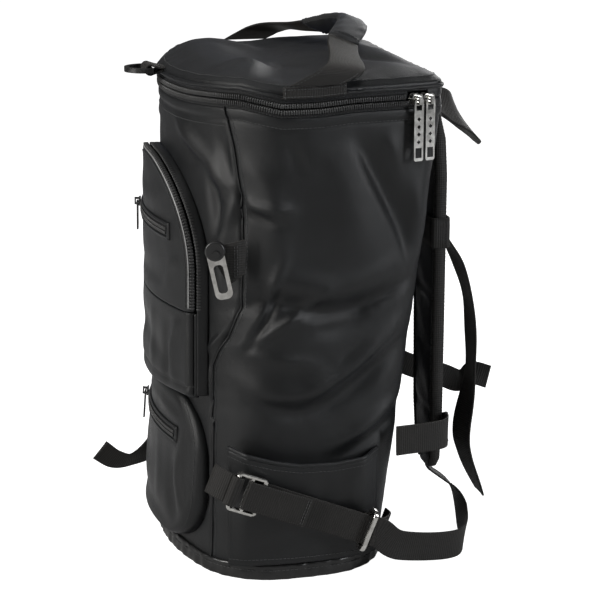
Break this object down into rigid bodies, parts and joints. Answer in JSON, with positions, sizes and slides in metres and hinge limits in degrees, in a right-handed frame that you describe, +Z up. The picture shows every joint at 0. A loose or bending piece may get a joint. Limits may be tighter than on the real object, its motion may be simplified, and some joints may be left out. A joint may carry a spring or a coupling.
{
  "type": "rope storage bag",
  "caption": "Soft black rope bag worn as a backpack, with a zipped fold-back lid, carrying handle, front pockets, side pockets and shoulder straps.",
  "frame": {"origin": "centre of the base's resting face", "axes": "+X is the wearer's right, -Y the front with the pockets, +Z up"},
  "size_m": [0.3147, 0.3537, 0.4509],
  "materials": {
    "fabric_black": "matt black nylon",
    "webbing_black": "flat woven webbing",
    "fabric_grip": "smooth wrap with a stitched edge",
    "zipper_black": "coil zipper on woven tape",
    "metal_silver": "bright metal",
    "metal_dark": "dark metal",
    "plastic_black": "black moulded plastic",
    "coated_rim": "coated edge band",
    "board": "stiffener board",
    "foam": "foam sheet"
  },
  "bodies": {
    "bag": {"front_panel": "fabric_black", "back_panel": "fabric_black", "side_panel_right": "fabric_black", "side_panel_left": "fabric_black", "base_panel": "fabric_black", "base_board": "board", "base_binding": "coated_rim", "back_foam": "foam", "lid_hinge_strip": "fabric_black", "rim_zip_lower": "zipper_black", "pocket_gusset": "fabric_black", "pocket_front_lower": "fabric_black", "pocket_zip_rear": "zipper_black", "lower_pocket": "fabric_black", "lower_zip": "zipper_black", "side_pocket_right": "fabric_black", "side_pocket_left": "fabric_black", "strap_tabs": "webbing_black", "side_strap_right": "webbing_black", "side_strap_left": "webbing_black", "ladder_lock_right": "metal_silver", "ladder_lock_left": "metal_silver", "shoulder_anchors": "fabric_black", "clip_tab": "webbing_black", "clip_rivet": "plastic_black"},
    "lid": {"lid_panel": "fabric_black", "lid_piping": "fabric_black", "lid_back_band": "fabric_black", "rim_zip_upper": "zipper_black", "handle_anchors": "webbing_black", "dring_tab": "webbing_black"},
    "carry_handle": {"handle_webbing": "webbing_black", "handle_grip": "fabric_grip"},
    "dring": {"front_dring": "metal_dark"},
    "slider_rear": {"rim_slider_1": "metal_silver"},
    "pull_rear": {"rim_pull_1": "metal_silver"},
    "slider_front": {"rim_slider_2": "metal_silver"},
    "pull_front": {"rim_pull_2": "metal_silver"},
    "flap": {"pocket_flap": "fabric_black", "pocket_zip_front": "zipper_black", "face_zip": "zipper_black"},
    "flap_slider": {"pocket_slider": "metal_dark"},
    "flap_pull": {"pocket_pull": "metal_dark"},
    "face_slider": {"face_zip_slider": "metal_dark"},
    "face_pull": {"face_zip_pull": "metal_dark"},
    "lower_slider": {"lower_zip_slider": "metal_dark"},
    "lower_pull": {"lower_zip_pull": "metal_dark"},
    "clip": {"clip_head": "plastic_black", "clip_hook": "metal_silver"},
    "guide_right": {"guide_ring_right": "metal_silver"},
    "guide_left": {"guide_ring_left": "metal_silver"},
    "tail_right": {"strap_tail_right": "webbing_black"},
    "tail_left": {"strap_tail_left": "webbing_black"},
    "shoulder_right": {"shoulder_pad_right": "fabric_black", "lower_strap_right": "webbing_black", "stay_strap_right": "webbing_black"},
    "shoulder_left": {"shoulder_pad_left": "fabric_black", "lower_strap_left": "webbing_black", "stay_strap_left": "webbing_black"},
    "sternum_right": {"sternum_strap_right": "webbing_black"},
    "sternum_left": {"sternum_strap_left": "webbing_black"},
    "haul": {"haul_loop": "webbing_black"}
  },
  "joints": [
    {"name": "lid_hinge", "type": "hinge", "parent": "bag", "child": "lid", "pos_m": [0, 0.126, 0.395], "axis": [-1, 0, 0], "range_deg": [0, 110]},
    {"name": "handle_hinge", "type": "hinge", "parent": "lid", "child": "carry_handle", "pos_m": [0, 0.017, 0.411], "axis": [1, 0, 0], "range_deg": [0, 64]},
    {"name": "dring_hinge", "type": "hinge", "parent": "lid", "child": "dring", "pos_m": [0, -0.0915, 0.4075], "axis": [-1, 0, 0], "range_deg": [-40, 40]},
    {"name": "slider_front_travel", "type": "hinge", "parent": "bag", "child": "slider_front", "pos_m": [-0.16, 0.023, 0.395], "axis": [0, 0, 1], "range_deg": [-17, 0]},
    {"name": "slider_rear_travel", "type": "hinge", "parent": "bag", "child": "slider_rear", "pos_m": [-0.16, 0.023, 0.395], "axis": [0, 0, 1], "range_deg": [-17, 0]},
    {"name": "pull_front_swing", "type": "hinge", "parent": "slider_front", "child": "pull_front", "pos_m": [0.13556, 0.10166, 0.395], "axis": [0.2572, -0.9664, 0], "range_deg": [0, 150]},
    {"name": "pull_rear_swing", "type": "hinge", "parent": "slider_rear", "child": "pull_rear", "pos_m": [0.13266, 0.11186, 0.395], "axis": [0.2905, -0.9569, 0], "range_deg": [0, 150]},
    {"name": "flap_hinge", "type": "hinge", "parent": "bag", "child": "flap", "pos_m": [0, -0.09755, 0.222], "axis": [1, 0, 0], "range_deg": [0, 110]},
    {"name": "flap_slider_travel", "type": "slide", "parent": "bag", "child": "flap_slider", "axis": [0, 0.0155, 0.9999], "range_m": [0, 0.02]},
    {"name": "flap_pull_swing", "type": "hinge", "parent": "flap_slider", "child": "flap_pull", "pos_m": [-0.10115, -0.07023, 0.2302], "axis": [0, 1, 0], "range_deg": [0, 150]},
    {"name": "face_slider_travel", "type": "hinge", "parent": "flap", "child": "face_slider", "pos_m": [0, 0.13842, 0.284], "axis": [0, 0, 1], "range_deg": [0, 27]},
    {"name": "face_pull_swing", "type": "hinge", "parent": "face_slider", "child": "face_pull", "pos_m": [-0.05819, -0.0954, 0.28408], "axis": [0.9704, -0.2415, 0], "range_deg": [-150, 0]},
    {"name": "lower_slider_travel", "type": "hinge", "parent": "bag", "child": "lower_slider", "pos_m": [0, 0.13571, 0.11], "axis": [0, 0, 1], "range_deg": [0, 27]},
    {"name": "lower_pull_swing", "type": "hinge", "parent": "lower_slider", "child": "lower_pull", "pos_m": [-0.05822, -0.09214, 0.11038], "axis": [0.9689, -0.2476, 0], "range_deg": [-150, 0]},
    {"name": "clip_swivel", "type": "hinge", "parent": "bag", "child": "clip", "pos_m": [0.12809, -0.058, 0.281], "axis": [0.9685, -0.2491, 0], "range_deg": [-60, 60]},
    {"name": "guide_right_swing", "type": "hinge", "parent": "bag", "child": "guide_right", "pos_m": [0.1397, 0.06074, 0.04371], "axis": [0, 0.3714, 0.9285], "range_deg": [-20, 20]},
    {"name": "guide_left_swing", "type": "hinge", "parent": "bag", "child": "guide_left", "pos_m": [-0.1397, 0.06074, 0.04371], "axis": [0, 0.3714, 0.9285], "range_deg": [-20, 20]},
    {"name": "tail_right_swing", "type": "hinge", "parent": "bag", "child": "tail_right", "pos_m": [0.15237, -0.04177, 0.08471], "axis": [0, 0.3714, 0.9285], "range_deg": [-70, 0]},
    {"name": "tail_left_swing", "type": "hinge", "parent": "bag", "child": "tail_left", "pos_m": [-0.1569, -0.036, 0.084], "axis": [0, 1, 0], "range_deg": [0, 45]},
    {"name": "shoulder_right_swing", "type": "hinge", "parent": "bag", "child": "shoulder_right", "pos_m": [0.065, 0.136, 0.379], "axis": [0.2274, -0.191, -0.9549], "range_deg": [-6, 18]},
    {"name": "shoulder_left_swing", "type": "hinge", "parent": "bag", "child": "shoulder_left", "pos_m": [-0.065, 0.136, 0.379], "axis": [-0.2274, -0.191, -0.9549], "range_deg": [-9, 0]},
    {"name": "sternum_right_slide", "type": "slide", "parent": "shoulder_right", "child": "sternum_right", "axis": [0, 0, 1], "range_m": [-0.025, 0.02]},
    {"name": "sternum_left_slide", "type": "slide", "parent": "shoulder_left", "child": "sternum_left", "axis": [0, 0.0872, 0.9962], "range_m": [0, 0.045]},
    {"name": "haul_hinge", "type": "hinge", "parent": "bag", "child": "haul", "pos_m": [0, 0.12887, 0.379], "axis": [1, 0, 0], "range_deg": [-20, 15]}
  ],
  "couplings": [
    {"joint": "slider_rear_travel", "follows": "slider_front_travel", "ratio": 1}
  ]
}
